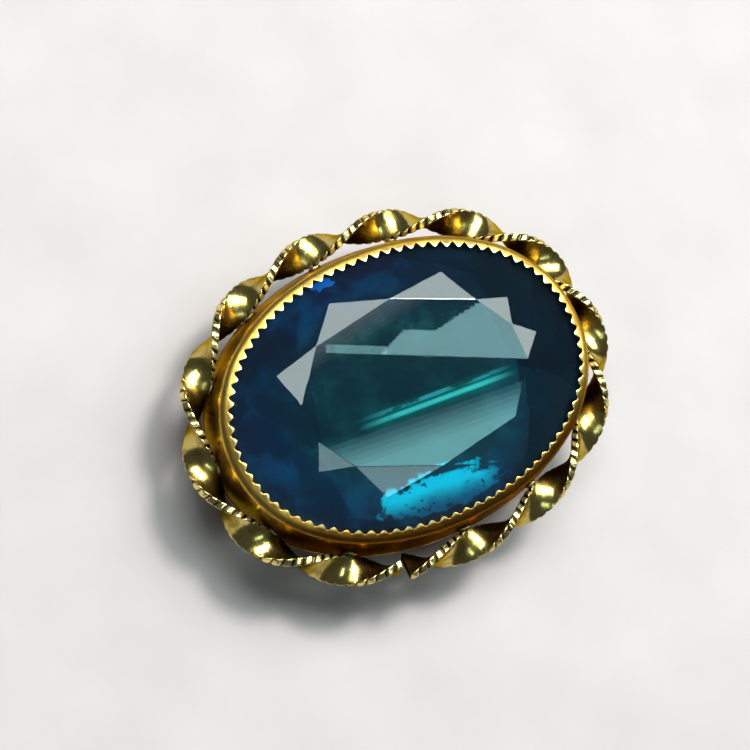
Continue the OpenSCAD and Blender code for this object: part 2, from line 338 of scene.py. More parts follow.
collet_gold = worn_metal_with_shade(
    "collet_gold", srgb(202, 166, 82), srgb(172, 130, 54), srgb(110, 64, 12), 0.3 * MM,
    shine=0.3, scratch=0.2, polish_and_shade=tooth_polish_and_shade, tint=srgb(200, 160, 76))
ribbon_gold = worn_metal_with_shade(
    "ribbon_gold", srgb(204, 182, 108), srgb(146, 126, 64), srgb(34, 20, 5), 1.2 * MM,
    shine=0.16, polish_and_shade=edge_polish_and_shade, tint=srgb(206, 178, 110))
back_gold = worn_metal_with_shade(
    "back_gold", srgb(208, 172, 98), srgb(150, 112, 56), srgb(60, 38, 16), 0.8 * MM,
    shine=0.3, scratch=1.0)
solder_grey = worn_metal_with_shade(
    "solder_grey", srgb(190, 172, 120), srgb(128, 108, 66), srgb(60, 40, 18), 0.3 * MM,
    shine=0.35)
pin_metal = worn_metal_with_shade(
    "pin_metal", srgb(222, 206, 168), srgb(176, 154, 108), srgb(78, 58, 30), 0.5 * MM,
    shine=0.2, scratch=1.0)
rotor_gold = worn_metal_with_shade(
    "rotor_gold", srgb(214, 178, 104), srgb(156, 118, 58), srgb(60, 38, 16), 0.6 * MM,
    shine=0.24, scratch=0.8)

# Places on the foil, along and across the stone's cut, for the painted reflections in the flaked
# patch and the spot and the painted highlight along the keel
PATCH_CENTRE, PATCH_RADII = (-0.15 * MM, -4.75 * MM), (3.1 * MM, 1.05 * MM)
SPOT_CENTRE, SPOT_RADII = (-2.25 * MM, 5.6 * MM), (0.6 * MM, 0.34 * MM)
KEEL_HIGHLIGHT_SLOPE, KEEL_HIGHLIGHT_Y, KEEL_HIGHLIGHT_MIDDLE = 0.045, -0.98 * MM, 1.4 * MM

GLASS_IOR = 1.54
GLASS_DENSITY = 480.0


def ellipse(s, x, y, centre, radii):
    """How far out a place lies in an ellipse: 0 at its centre and 1 on its edge."""
    dx = s.math("DIVIDE", s.math("SUBTRACT", x, centre[0]), radii[0])
    dy = s.math("DIVIDE", s.math("SUBTRACT", y, centre[1]), radii[1])
    return s.math("SQRT", s.math("ADD", s.math("MULTIPLY", dx, dx), s.math("MULTIPLY", dy, dy)))


def blob(s, x, y, centre, radii, ragged, lump):
    """1 inside an ellipse and 0 outside. Its edge wanders by ragged, in lumps of a size."""
    edge = s.span(s.noise(lump, 3, 0.55), 0.3, 0.7, -ragged, ragged)
    return s.span(s.math("ADD", ellipse(s, x, y, centre, radii), edge), 0.82, 1.0, 1.0, 0.0,
                  smooth=True)


def facet_shade(s):
    """A value from -1 to 1 that differs from one facet to the next, for painted shade."""
    x, y, z = s.axes(s.add("TexCoord").outputs["Normal"])
    tilts = s.math("MULTIPLY_ADD", x, 19.0, s.math("MULTIPLY", y, 31.0))
    return s.math("SINE", s.math("MULTIPLY", tilts, z))


def dark_foil(s, x, y):
    """Foil gone dark with age: grey in the middle, blue along its edge and teal at its right, with
    painted shade that darkens some facets more than others.
    """
    cloud = s.span(s.noise(2.1 * MM, 3, 0.5), 0.42, 0.66, smooth=True)
    edge_blue = s.mix(cloud, srgb(0, 6, 54), srgb(0, 66, 108))
    edge_blue = s.mix(s.span(x, 0.5 * MM, 5.5 * MM, 0.0, 0.85), edge_blue, srgb(0, 36, 46))
    middle = s.mix(cloud, srgb(22, 34, 34), srgb(58, 74, 66))
    rim = ellipse(s, x, y, (0.0, 0.0), (half_length, half_width))
    color = s.mix(s.span(rim, 0.46, 0.76, smooth=True), middle, edge_blue)
    # Painted shade: some facets darker than others, by their tilt
    color = s.mix(s.span(facet_shade(s), -0.6, 0.9, 0.0, 0.6), color, srgb(0, 10, 30))
    stain = s.span(s.noise(1.3 * MM, 4, 0.6), 0.5, 0.68, 0.0, 0.75, smooth=True)
    return s.mix(stain, color, srgb(2, 14, 40))


def flaked_patch_reflections(s, x, y, color):
    """The foil's colour with the flaked patch where the foil is still whole, painted with a bright
    cyan reflection, and one small spot of painted blue reflection.
    """
    holes = s.span(s.noise(0.42 * MM, 2, 0.5), 0.66, 0.7, 1.0, 0.1)
    # Painted reflection: cyan in the patch, darker towards its lower edge, and a blue spot
    patch = s.math("MULTIPLY", blob(s, x, y, PATCH_CENTRE, PATCH_RADII, 0.2, 0.7 * MM), holes)
    shade = s.math("ADD", y, s.math("MULTIPLY", s.noise(0.9 * MM, 2, 0.5), 0.6 * MM))
    cyan = s.mix(s.span(shade, -5.2 * MM, -4.0 * MM, smooth=True),
                 srgb(0, 96, 136), srgb(14, 226, 240))
    cyan = s.mix(s.span(x, 1.8 * MM, 3.2 * MM, 0.0, 0.85, smooth=True), cyan, srgb(0, 70, 130))
    spot = blob(s, x, y, SPOT_CENTRE, SPOT_RADII, 0.4, 0.4 * MM)
    return s.mix(spot, s.mix(patch, color, cyan), srgb(10, 120, 220))


def keel_highlight(s, x, y, color):
    """The foil's colour with a painted highlight along the keel, a painted teal glow round it, and
    a thin painted highlight beside it.
    """
    across = s.math("SUBTRACT", y, s.math("MULTIPLY_ADD", x, KEEL_HIGHLIGHT_SLOPE, KEEL_HIGHLIGHT_Y))
    along = s.span(s.math("ABSOLUTE", s.math("SUBTRACT", x, KEEL_HIGHLIGHT_MIDDLE)), 1.9 * MM, 4.3 * MM,
                   1.0, 0.0, smooth=True)
    broken = s.noise(0.9 * MM, 3, 0.55, 0.0, s.stretched((0.5, 1, 1)))

    def line(offset, core, edge):
        """1 on a line beside the keel, fading between half widths core and edge."""
        far = s.math("ABSOLUTE", s.math("SUBTRACT", across, offset * MM))
        return s.math("MULTIPLY", s.span(far, core * MM, edge * MM, 1.0, 0.0, smooth=True), along)

    # Painted glow and highlights along the foil's crease at the keel, where light catches it
    glow = s.math("MULTIPLY", line(0.05, 0.1, 0.6), 0.8)
    bright = s.math("MULTIPLY", line(0.0, 0.04, 0.17), s.span(broken, 0.25, 0.45, 0.4, 1.0))
    beside = s.math("MULTIPLY", line(0.32, 0.05, 0.13), s.span(broken, 0.44, 0.54, smooth=True))
    color = s.mix(glow, color, srgb(30, 122, 84))
    color = s.mix(bright, color, srgb(255, 255, 210))
    return s.mix(beside, color, srgb(190, 200, 190))


def foil_paint(s):
    """Colour of foil gone dark with age, with a painted highlight along the keel and painted
    reflections in one flaked patch and one spot.
    """
    x, y, _ = s.axes(s.stretched((1, 1, 1), (0, 0, -CUT_TURN)))
    return keel_highlight(s, x, y, flaked_patch_reflections(s, x, y, dark_foil(s, x, y)))


def glass_material():
    """Blue glass, painted with the foil's colours, with their painted highlight, reflections and
    shade, on every facet under the girdle.
    """
    s = Shader("blue_glass")
    _, _, z = s.axes()
    clear = s.span(z, girdle_low + 0.05 * MM, girdle_low + 0.06 * MM)
    color = s.mix(clear, foil_paint(s), WHITE)
    wear = s.span(s.noise(0.6 * MM, 4, 0.6), 0.45, 0.8, 0.0, 0.03)
    scuffs = s.noise(0.03 * MM, 2, 0.6, 0.0, s.stretched((1, 0.05, 1), (0, 0, -0.5)))
    rough = s.math("MULTIPLY_ADD", s.math("SUBTRACT", 1.0, clear), 0.5, wear)
    normal = s.bump(s.span(scuffs, 0.66, 0.8), 0.0006 * MM, 0.35)
    absorb = s.add("VolumeAbsorption")
    absorb.inputs["Color"].default_value = (0.05, 0.85, 0.97, 1)
    absorb.inputs["Density"].default_value = GLASS_DENSITY
    s.link(absorb.outputs["Volume"], s.tree.nodes["Material Output"].inputs["Volume"])
    s.link(clear, s.bsdf.inputs["Transmission Weight"])
    return s.finish(color, rough, normal, IOR=GLASS_IOR)


def foil_material():
    """Wrinkled foil, dull behind its colours, which hold a painted highlight, painted reflections
    and painted shade.
    """
    s = Shader("aged_foil")
    wrinkles = s.bump(s.noise(0.5 * MM, 4, 0.6, 0.6), 0.03 * MM, 0.7)
    rough = s.span(s.noise(0.4 * MM), 0.3, 0.7, 0.55, 0.75)
    return s.finish(foil_paint(s), rough, wrinkles, Specular_IOR_Level=0.25)


blue_glass = glass_material()
aged_foil = foil_material()


# ---- Stone ----

STAR_HEIGHT = 1.10 * MM
KEEL_FACET_SHARE = 0.62
# Where the main facets stand round the outline, and the two of them that end in the whole keel
MAIN_ANGLES = [math.radians(a + half) for half in (0, 180) for a in (-7, 18, 44, 89, 135)]
MAINS = len(MAIN_ANGLES)
SIDE_MAINS = (3, 8)
# Steps of the girdle along half the way between two main facets, and all round
RIM_STEPS = 8
RIM_COUNT = 2 * RIM_STEPS * MAINS
# The lowest that the crown may meet the girdle, and the highest that the pavilion may
CROWN_RIM_Z = girdle_low + 0.08 * MM
PAVILION_RIM_Z = girdle_low + 0.05 * MM
MERGE_DISTANCE = 0.002 * MM
STONE_WEAR = 0.025 * MM
FOIL_GAP = 0.02 * MM
FOIL_THICKNESS = 0.03 * MM


def meet(planes, z):
    """The point at height z where two planes, each a (point, normal), meet."""
    (p, n), (q, m) = planes
    a, b = n.dot(p) - n.z * z, m.dot(q) - m.z * z
    det = n.x * m.y - n.y * m.x
    return Vector(((a * m.y - b * n.y) / det, (n.x * b - m.x * a) / det, z))


def turned(v):
    """A flat vector turned with the stone's cut."""
    return Matrix.Rotation(CUT_TURN, 2) @ v


def plane_through(a, b, c):
    """The plane, as a point and a normal, through three points."""
    return a, (b - a).cross(c - a).normalized()


def height_on(plane, x, y):
    """The height of a plane at a place."""
    point, n = plane
    return point.z - (n.x * (x - point.x) + n.y * (y - point.y)) / n.z


def rim_point(k, step):
    """Girdle point some steps on from the foot of main facet k."""
    k, step = k + step // (2 * RIM_STEPS), step % (2 * RIM_STEPS)
    first, last = MAIN_ANGLES[k % MAINS], MAIN_ANGLES[(k + 1) % MAINS]
    return oval(first + (last - first) % TAU * step / (2 * RIM_STEPS) + CUT_TURN)


def main_planes(heads, foot_z):
    """One plane for each main facet, from its head down or up to its foot in the girdle."""
    planes = []
    for k in range(MAINS):
        foot = Vector((*rim_point(k, 0), foot_z))
        n = turned(outward(MAIN_ANGLES[k]))
        side = Vector((-n.y, n.x, 0))
        planes.append((foot, (heads[k] - foot).cross(side).normalized()))
    return planes


def girdle_feet(k, peak, foot_z, limit, rim):
    """Where the two facets under a peak, between main facets k and k + 1, meet the girdle: a row of
    points for each. rim keeps the limited heights of the girdle's places."""
    feet = [Vector((*rim_point(k, j), foot_z)) for j in range(2 * RIM_STEPS + 1)]
    rows = []
    for first, last in ((0, RIM_STEPS), (RIM_STEPS, 2 * RIM_STEPS)):
        facet = plane_through(peak, feet[first], feet[last])
        for j in range(first, last + 1):
            feet[j].z = limit(height_on(facet, feet[j].x, feet[j].y))
            rim[(2 * RIM_STEPS * k + j) % RIM_COUNT] = feet[j].z
        rows.append([foot.copy() for foot in feet[first:last + 1]])
    return rows


def make_crown():
    """Faces of the crown, which are table, stars, kites and girdle facets, and the heights at which
    they meet the girdle."""
    table = [Vector((*turned(oval(a, TABLE_SHARE)), table_z)) for a in MAIN_ANGLES]
    planes = main_planes(table, girdle_top)
    stars = [meet((planes[k], planes[(k + 1) % MAINS]), girdle_top + STAR_HEIGHT)
             for k in range(MAINS)]
    faces, rim = [table], {}
    for k in range(MAINS):
        faces.append([table[k], table[(k + 1) % MAINS], stars[k]])
        for feet in girdle_feet(k, stars[k], girdle_top, lambda z: max(z, CROWN_RIM_Z), rim):
            faces.append([stars[k]] + feet[::-1])
        foot = Vector((*rim_point(k, 0), girdle_top))
        faces.append([table[k], stars[k], foot, stars[(k - 1) % MAINS]])
    return [face[::-1] for face in faces], rim


def make_pavilion():
    """Faces under the girdle, down to a keel line along the cut, and the heights at which they meet
    the girdle."""
    ends = [Vector((*turned(Vector((x * half_length, y * half_width))), keel_z))
            for x, y in KEEL_ENDS]
    heads = [ends[0] if math.cos(a) > 0 else ends[1] for a in MAIN_ANGLES]
    planes = main_planes(heads, girdle_low)
    for k in SIDE_MAINS:
        planes[k] = plane_through(Vector((*rim_point(k, 0), girdle_low)), *ends)
    knees = [meet((planes[k], planes[(k + 1) % MAINS]), lerp(keel_z, girdle_low, KEEL_FACET_SHARE))
             for k in range(MAINS)]
    faces, rim = [], {}
    for k in range(MAINS):
        top = [heads[k]]
        if k in SIDE_MAINS:
            top = ends[:] if math.sin(MAIN_ANGLES[k]) > 0 else ends[::-1]
        foot = Vector((*rim_point(k, 0), girdle_low))
        faces.append([knees[k], foot, knees[(k - 1) % MAINS]] + top)
        for feet in girdle_feet(k, knees[k], girdle_low, lambda z: min(z, PAVILION_RIM_Z), rim):
            faces.append([knees[k]] + feet)
    return faces, rim


def faces_object(name, faces):
    """An object from faces given as points, with points that coincide made one."""
    bm = bmesh.new()
    for face in faces:
        bm.faces.new([bm.verts.new(p) for p in face])
    bmesh.ops.remove_doubles(bm, verts=bm.verts, dist=MERGE_DISTANCE)
    return object_from_bmesh(name, bm)


def make_stone(crown, pavilion, upper, lower):
    """The stone: its crown and pavilion, joined by a girdle between their heights at the rim."""
    girdle = []
    for j in range(RIM_COUNT):
        p, q, after = rim_point(0, j), rim_point(0, j + 1), (j + 1) % RIM_COUNT
        girdle.append([Vector((*p, lower[j])), Vector((*q, lower[after])),
                       Vector((*q, upper[after])), Vector((*p, upper[j]))])
    stone = faces_object("stone", crown + girdle + pavilion)
    bevelled(stone, STONE_WEAR, segments=1, angle=6)
    stone.data.shade_flat()
    stone.data.materials.append(blue_glass)
    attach(stone, "setting")
    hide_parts("faceted_stone")


def make_foil(pavilion):
    """Foil cup under the pavilion, a hair below the glass."""
    foil = faces_object("foil_cup", pavilion)
    foil.data.transform(Matrix.Translation((0, 0, -FOIL_GAP)))
    thick = foil.modifiers.new("thickness", "SOLIDIFY")
    thick.thickness = FOIL_THICKNESS
    thick.offset = 1.0 if foil.data.polygons[0].normal.z < 0 else -1.0
    apply_modifiers(foil)
    foil.data.materials.append(aged_foil)
    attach(foil, "setting")
    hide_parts("foil_backing")


# ---- Collet ----

TOOTH_COUNT = 82
TOOTH_STEPS = 12
TOOTH_REACH = 0.28 * MM
TOOTH_THICKNESS = 0.09 * MM
TOOTH_SLOPE = 0.34
SHOULDER_Z = girdle_low + 0.10 * MM
SHOULDER_RADIUS = 0.55 * MM
SHOULDER_RISE = 0.68
SHOULDER_ANGLES = [math.radians(8 + 8.3 * k) for k in range(8)]
FOOT_EASE = 0.03 * MM
WALL_UNEVEN = 0.012 * MM


def collet_profile(reach, lift):
    """The wall's section, as points (distance out of the stone's outline, height): up the outside,
    over a burnished shoulder to a tooth of this reach, lifted a little at its point, and back."""
    profile = [(wall_in + wall_foot - wall_out, collet_low.z),
               (wall_foot - FOOT_EASE, collet_low.z), (wall_foot, collet_low.z + FOOT_EASE)]
    profile += [(lerp(wall_foot, wall_out, f), lerp(collet_low.z, SHOULDER_Z, f))
                for f in (0.2, 0.45, 0.7, 0.9)]
    first = SHOULDER_ANGLES[0]
    profile += [(wall_out - SHOULDER_RADIUS * (math.cos(first) - math.cos(a)),
                 SHOULDER_Z + SHOULDER_RISE * SHOULDER_RADIUS * (math.sin(a) - math.sin(first)))
                for a in SHOULDER_ANGLES]
    start, top = profile[-1]
    climb = reach * TOOTH_SLOPE
    profile += [(start - f * reach, top + f * climb + lift * f - 0.02 * MM * f ** 8)
                for f in (0.3, 0.62, 0.88, 0.98)]
    end_z = top + climb + lift
    profile.append((start - reach, end_z - 0.5 * TOOTH_THICKNESS))
    profile.append((start - 0.97 * reach, end_z - 0.92 * TOOTH_THICKNESS))
    profile.append((start - 0.5 * reach, top - TOOTH_THICKNESS + 0.5 * (lift + climb)))
    profile.append((start, top - TOOTH_THICKNESS))
    profile.append((wall_in, SHOULDER_Z + 0.12 * MM))
    return profile


def collet_section(t, reach, lift):
    """The points of the wall's section at parameter angle t, on a wall that is never quite even."""
    uneven = WALL_UNEVEN * noise.noise(Vector((math.cos(t), math.sin(t), 0)) * 4)
    points = []
    for distance, z in collet_profile(reach, lift):
        p = moved_oval(t, distance + (uneven if distance > wall_in else 0))
        points.append(Vector((p.x, p.y, z)))
    return points


def even_angles(count):
    """Parameter angles that divide the stone's outline into equal lengths."""
    fine = 4000
    arc = [0.0]
    for k in range(fine):
        arc.append(arc[-1] + (oval(TAU * (k + 1) / fine) - oval(TAU * k / fine)).length)
    angles, k = [], 0
    for j in range(count):
        want = arc[-1] * j / count
        while arc[k + 1] < want:
            k += 1
        angles.append(TAU * (k + (want - arc[k]) / (arc[k + 1] - arc[k])) / fine)
    return angles


def low_side(t):
    """0 along the upper side of the oval and 1 along the lower, where notches are less deep."""
    return min(1.0, max(0.0, 0.5 - 1.1 * math.sin(t + math.radians(20))))


def make_collet():
    """The wall and its saw teeth, each a little different in length, lift and lean."""
    rings, angles = [], even_angles(TOOTH_COUNT * TOOTH_STEPS)
    for tooth in range(TOOTH_COUNT):
        length = TOOTH_REACH * random.uniform(0.9, 1.08)
        lift = random.uniform(-0.02, 0.03) * MM
        lean = random.uniform(-0.05, 0.05)
        low = low_side(angles[tooth * TOOTH_STEPS])
        root, gap = lerp(0.03, 0.42, low), lerp(0.06, 0.3, low)
        for k in range(TOOTH_STEPS):
            swing = 2 * k / TOOTH_STEPS - 1
            share = 1 - abs(swing - lean * (1 - abs(swing)))
            share = max(0.0, share * (1 + gap) - gap)
            reach = length * lerp(root, 1.0, 1 - (1 - share) ** 1.5)
            rings.append(collet_section(angles[tooth * TOOTH_STEPS + k], reach, lift * share))
    collet = loft("saw_tooth_collet", rings, closed=True)
    collet.data.set_sharp_from_angle(angle=math.radians(40))
    collet.data.materials.append(collet_gold)
    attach(collet, "setting")
    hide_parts("bezel_collet")


# ---- Ribbon ----

RIBBON_BOW = 0.17 * MM
RIBBON_INSET = 0.07 * MM
HALF_TWIST = 4.249 * MM
SEAM_SHARE = 0.69
SEAM_TWIST = math.radians(36)
SEAM_GAP = 0.3 * MM
MILLING_PITCH = 0.43 * MM
MILLING_STEPS = 12
MILLING_DEPTH = 0.085 * MM
MILLED_SHARE = 0.86
RIBBON_THICKNESS = 0.40 * MM
RIBBON_WANDER = 0.02 * MM
TWIST_WANDER = 0.05
WANDER_LENGTH = 2.3 * MM
LINE_STEPS = 720


def ribbon_point(t):
    """The ribbon's middle line, which bows out along the oval's sides."""
    bow = RIBBON_BOW * math.sin(t) ** 2
    return moved_oval(t, wall_foot + ribbon_half_width - RIBBON_INSET + bow)


# Angles, points and lengths along the middle line, twice round, because the ribbon starts part way
line_angles = [TAU * k / LINE_STEPS for k in range(2 * LINE_STEPS + 1)]
line_points = [ribbon_point(t) for t in line_angles]
line_arc = [0.0]
for a, b in zip(line_points, line_points[1:]):
    line_arc.append(line_arc[-1] + (b - a).length)
ribbon_length = line_arc[LINE_STEPS]
ribbon_start = SEAM_SHARE * ribbon_length + SEAM_GAP / 2
ribbon_end = (1 + SEAM_SHARE) * ribbon_length - SEAM_GAP / 2


def angle_at(s):
    """Parameter angle at a distance along the ribbon's middle line from +X."""
    low, high = 0, 2 * LINE_STEPS
    while high - low > 1:
        mid = (low + high) // 2
        low, high = (mid, high) if line_arc[mid] <= s else (low, mid)
    f = (s - line_arc[low]) / (line_arc[high] - line_arc[low])
    return lerp(line_angles[low], line_angles[high], f)


def twist_at(s):
    """The ribbon's turn about its middle line at a distance along it."""
    return SEAM_TWIST + math.pi * (s - ribbon_start) / HALF_TWIST


def ribbon_outline():
    """Half the ribbon's section, from one edge to the other: (share of the width, share of the
    thickness) with a rounded edge and a slightly hollow face."""
    points = [(1.0, 0.1), (1.0, 0.45), (0.995, 0.75), (0.975, 0.93), (0.94, 1.0)]
    face = (0.84, 0.6, 0.35, 0.1)
    points += [(f, 1 - 0.12 * (1 - f * f)) for f in face + tuple(-f for f in face[::-1])]
    points += [(-u, v) for u, v in points[4::-1]]
    return points


def ribbon_ring(s, section, notch, groove):
    """The ribbon's section at a distance s along its middle line, with its edges cut back by a
    share of the milling's depth. The ribbon wanders a little, and notch sets how deep it is cut."""
    t, wander = angle_at(s), noise.noise(Vector((s / WANDER_LENGTH, 0, 0)))
    twist = twist_at(s) + TWIST_WANDER * wander
    n = outward(t)
    p = ribbon_point(t) + n * RIBBON_WANDER * wander
    depth = MILLING_DEPTH * (0.85 + 0.3 * noise.noise(Vector((notch, 7, 0))))
    ring = []
    for u, v in section:
        edge = min(1.0, max(0.0, (abs(u) - MILLED_SHARE) / (1 - MILLED_SHARE)))
        across = u * ribbon_half_width - math.copysign(depth * groove * edge, u)
        thick = v * RIBBON_THICKNESS / 2 * (1 - 0.12 * groove * edge)
        r = across * math.cos(twist) - thick * math.sin(twist)
        z = across * math.sin(twist) + thick * math.cos(twist)
        ring.append(Vector((p.x + n.x * r, p.y + n.y * r, ribbon_mid_z + z)))
    return ring


def make_ribbon():
    """The twisted ribbon with its milled edges, whose beads are marked as polished, partly as a
    painted highlight, and whose grooves are marked for painted shade.
    """
    upper = ribbon_outline()
    section = upper + [(-u, -v) for u, v in upper]
    steps = int((ribbon_end - ribbon_start) / MILLING_PITCH) * MILLING_STEPS
    grooves = [(0.5 + 0.5 * math.cos(TAU * (k % MILLING_STEPS) / MILLING_STEPS)) ** 3
               for k in range(steps + 1)]
    rings = [ribbon_ring(lerp(ribbon_start, ribbon_end, k / steps), section, k / MILLING_STEPS,
                         groove) for k, groove in enumerate(grooves)]
    ribbon = loft("milled_ribbon", rings)
    bead_polish_and_shade = ribbon.data.attributes.new("bead_polish_and_shade", "FLOAT", "POINT")
    # Beads polished pale, partly as a painted highlight, and painted shade below 0 in the grooves
    # between them
    shares = [max(0.0, min(1.0, (abs(u) - 0.9) / 0.08)) for u, v in section]
    bead_polish_and_shade.data.foreach_set("value", [share * (1 - 1.6 * groove)
                                   for groove in grooves for share in shares])
    ribbon.data.set_sharp_from_angle(angle=math.radians(55))
    ribbon.data.materials.append(ribbon_gold)
    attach(ribbon, "setting")
    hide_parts("twisted_ribbon")


# ---- Solder ----

SOLDER_OUT = 0.06 * MM
SOLDER_THICK, SOLDER_LONG, SOLDER_HIGH = (0.12, 0.16), (0.3, 0.42), (0.16, 0.22)


def make_solder():
    """A small run of solder where each flat of the ribbon meets the wall."""
    first = math.ceil((twist_at(ribbon_start) - 0.1) / math.pi)
    last = math.floor(twist_at(ribbon_end) / math.pi)
    climb = (ribbon_mid_z - collet_low.z) / (SHOULDER_Z - collet_low.z)
    wall_at_ribbon = lerp(wall_foot, wall_out, climb)
    bm = bmesh.new()
    for k in range(first, last + 1):
        t = angle_at(ribbon_start + (math.pi * k - SEAM_TWIST) / math.pi * HALF_TWIST)
        n, p = outward(t), moved_oval(t, wall_at_ribbon + SOLDER_OUT)
        centre = Vector((p.x, p.y, ribbon_mid_z))
        place = Matrix.Translation(centre) @ Matrix.Rotation(math.atan2(n.y, n.x), 4, "Z")
        bead = bmesh.ops.create_icosphere(bm, subdivisions=3, radius=1)["verts"]
        size = Vector([random.uniform(*spread)
                       for spread in (SOLDER_THICK, SOLDER_LONG, SOLDER_HIGH)]) * MM
        for v in bead:
            lump = 1 + 0.25 * noise.noise(v.co * 1.7 + Vector((k * 3.1, 0, 0)))
            v.co = centre + (place @ (v.co * size) - centre) * lump
    solder = object_from_bmesh("solder_runs", bm, smooth=True)
    solder.data.materials.append(solder_grey)
    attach(solder, "setting")
    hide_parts("solder_joints")


# ---- Back ----

PLATE_STEPS = 192
PLATE_EASE = 0.07 * MM
PLATE_DENT = 0.014 * MM
HINGE_FOOT_HALF = 1.2 * MM
CATCH_FOOT_HALF_LENGTH, CATCH_FOOT_HALF_WIDTH = 1.1 * MM, 1.2 * MM
FOOT_POWER = 8
FILLET_STEPS = 96
FILLET_SIZE = 0.12 * MM
FILLET_OUTLINE = ((-0.3, 0.0), (1.0, 0.0), (0.5, 0.12), (0.2, 0.42), (0.04, 1.0), (-0.3, 1.0))


def dress(ob, body, node, material):
    """Give a piece its material and body, and let it stand for its CAD node."""
    ob.data.materials.clear()
    ob.data.materials.append(material)
    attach(ob, body)
    if node:
        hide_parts(node)


def make_back_plate():
    """Sheet plate with a rounded rim, flattened by hand so that it is never quite even."""
    thick, lip = plate_high.z - plate_low.z, plate_high.x - half_length
    shares = (0.04, 0.14, 0.26, 0.38, 0.5, 0.62, 0.74, 0.85, 0.94, 1.0)
    levels = [(share, 0.0, 0.0) for share in shares]
    for degrees in (0, 25, 50, 75, 90):
        a = math.radians(degrees)
        levels.append((1, lip - PLATE_EASE * (1 - math.sin(a)), PLATE_EASE * (1 - math.cos(a))))
    levels += [(share, distance, thick - z) for share, distance, z in levels[::-1]]
    rings = []
    for share, distance, z in levels:
        ring = []
        for k in range(PLATE_STEPS):
            t = TAU * k / PLATE_STEPS
            p = oval(t, share) + outward(t) * distance
            dent = PLATE_DENT * noise.noise(Vector((p.x, p.y, 0)) / (2.2 * MM))
            ring.append(Vector((p.x, p.y, plate_low.z + z + (dent if z < thick / 2 else 0))))
        rings.append(ring)
    plate = loft("back_sheet", rings)
    plate.data.set_sharp_from_angle(angle=math.radians(50))
    dress(plate, "setting", "back_plate", back_gold)


def worn_copy(node, name, width):
    """A copy of a CAD node with its edges rounded by wear."""
    bm = bmesh.new()
    bm.from_mesh(frame["nodes"][node].data)
    bmesh.ops.remove_doubles(bm, verts=bm.verts, dist=1e-7)
    bmesh.ops.dissolve_limit(bm, angle_limit=math.radians(1), verts=bm.verts, edges=bm.edges)
    return bevelled(object_from_bmesh(name, bm), width)


def foot_fillet(name, cx, cy, hx, hy):
    """Solder that ran out round a foot's edge, from the plate up the foot's side. The foot has its
    middle at cx, cy and half sides hx, hy."""
    rings = []
    for k in range(FILLET_STEPS):
        a = TAU * k / FILLET_STEPS
        c, s = math.cos(a), math.sin(a)
        r = (abs(c / hx) ** FOOT_POWER + abs(s / hy) ** FOOT_POWER) ** (-1 / FOOT_POWER)
        x, y = r * c, r * s
        n = Vector([math.copysign(abs(v / half) ** (FOOT_POWER - 1) / half, v)
                    for v, half in ((x, hx), (y, hy))]).normalized()
        spread = FILLET_SIZE * (1.2 + 0.9 * noise.noise(Vector((x, y, 0)) / (0.7 * MM)))
        climb = FILLET_SIZE * (1.3 + 0.8 * noise.noise(Vector((y, x, 5)) / (0.6 * MM)))
        rings.append([Vector((cx + x + n.x * spread * out, cy + y + n.y * spread * out,
                              plate_low.z + 0.02 * MM - climb * down))
                      for out, down in FILLET_OUTLINE])
    return loft(name, rings, closed=True)


def make_back_parts():
    """The hinge, pin and catch, from their CAD nodes, the solder round their feet, and the metal of
    the bearing ring, which stays as the CAD has it."""
    pieces = (("hinge_bracket", "hinge_ears", 0.05, "setting", "back_brass", back_gold),
              ("hinge_rivet", "rivet", 0.04, "setting", "pin_metal", pin_metal),
              ("pin_stem", "pin_wire", 0.05, "pin", "pin_metal", pin_metal),
              ("catch_base", "catch_rings", 0.05, "setting", "back_brass", back_gold),
              ("catch_rotor", "catch_barrel", 0.035, "rotor", "gilt_brass", rotor_gold))
    for node, name, width, body, slot, material in pieces:
        dress(worn_copy(node, name, width * MM), body, node, material)
    feet = (("hinge_solder", hinge_at.x, (bracket_low.y + bracket_high.y) / 2,
             HINGE_FOOT_HALF, (bracket_high.y - bracket_low.y) / 2),
            ("catch_solder", catch_at.x, catch_at.y, CATCH_FOOT_HALF_LENGTH, CATCH_FOOT_HALF_WIDTH))
    for foot in feet:
        dress(foot_fillet(*foot), "setting", None, solder_grey)
    ring_data = frame["nodes"]["bearing_ring"].data
    ring_data.materials.clear()
    ring_data.materials.append(back_gold)


# ---- Making everything ----

crown_faces, upper_rim = make_crown()
pavilion_faces, lower_rim = make_pavilion()
make_stone(crown_faces, pavilion_faces, upper_rim, lower_rim)
make_foil(pavilion_faces)
make_collet()
make_ribbon()
make_solder()
make_back_plate()
make_back_parts()


# ---- Floor, light and camera ----

FLOOR_HALF = 3.0
CAMERA_TILT = math.radians(19.0)
CAMERA_LEAN = math.radians(35.3)
CAMERA_ROLL = math.radians(24.1)
CAMERA_DISTANCE = 125.5 * MM
CAMERA_AIM = Vector((-0.92, 1.0)) * MM
FIELD_OF_VIEW = math.radians(16)
AIM_Z = 2.4 * MM
SENSOR = 36.0
MIRROR_DISTANCE = 0.42
PALE_CYAN = (0.50, 0.98, 1.0)


def make_floor():
    """A large pale floor with a faint grain."""
    s = Shader("pale_floor")
    grain = s.noise(6 * MM, 4, 0.5)
    color = s.mix(s.span(grain, 0.3, 0.7), srgb(176, 167, 168), srgb(184, 175, 176))
    corners = [(x * FLOOR_HALF, y * FLOOR_HALF, 0) for x, y in ((-1, -1), (1, -1), (1, 1), (-1, 1))]
    floor = mesh_object("floor", corners, [(0, 1, 2, 3)], smooth=False)
    floor.data.materials.append(s.finish(color, 0.75))


def camera_turn():
    """Turn from the brooch's frame to the camera's: the roll in its plane, then the tilt."""
    tilt_axis = Vector((-math.sin(CAMERA_LEAN), math.cos(CAMERA_LEAN), 0))
    return Matrix.Rotation(CAMERA_TILT, 3, tilt_axis) @ Matrix.Rotation(CAMERA_ROLL, 3, "Z")


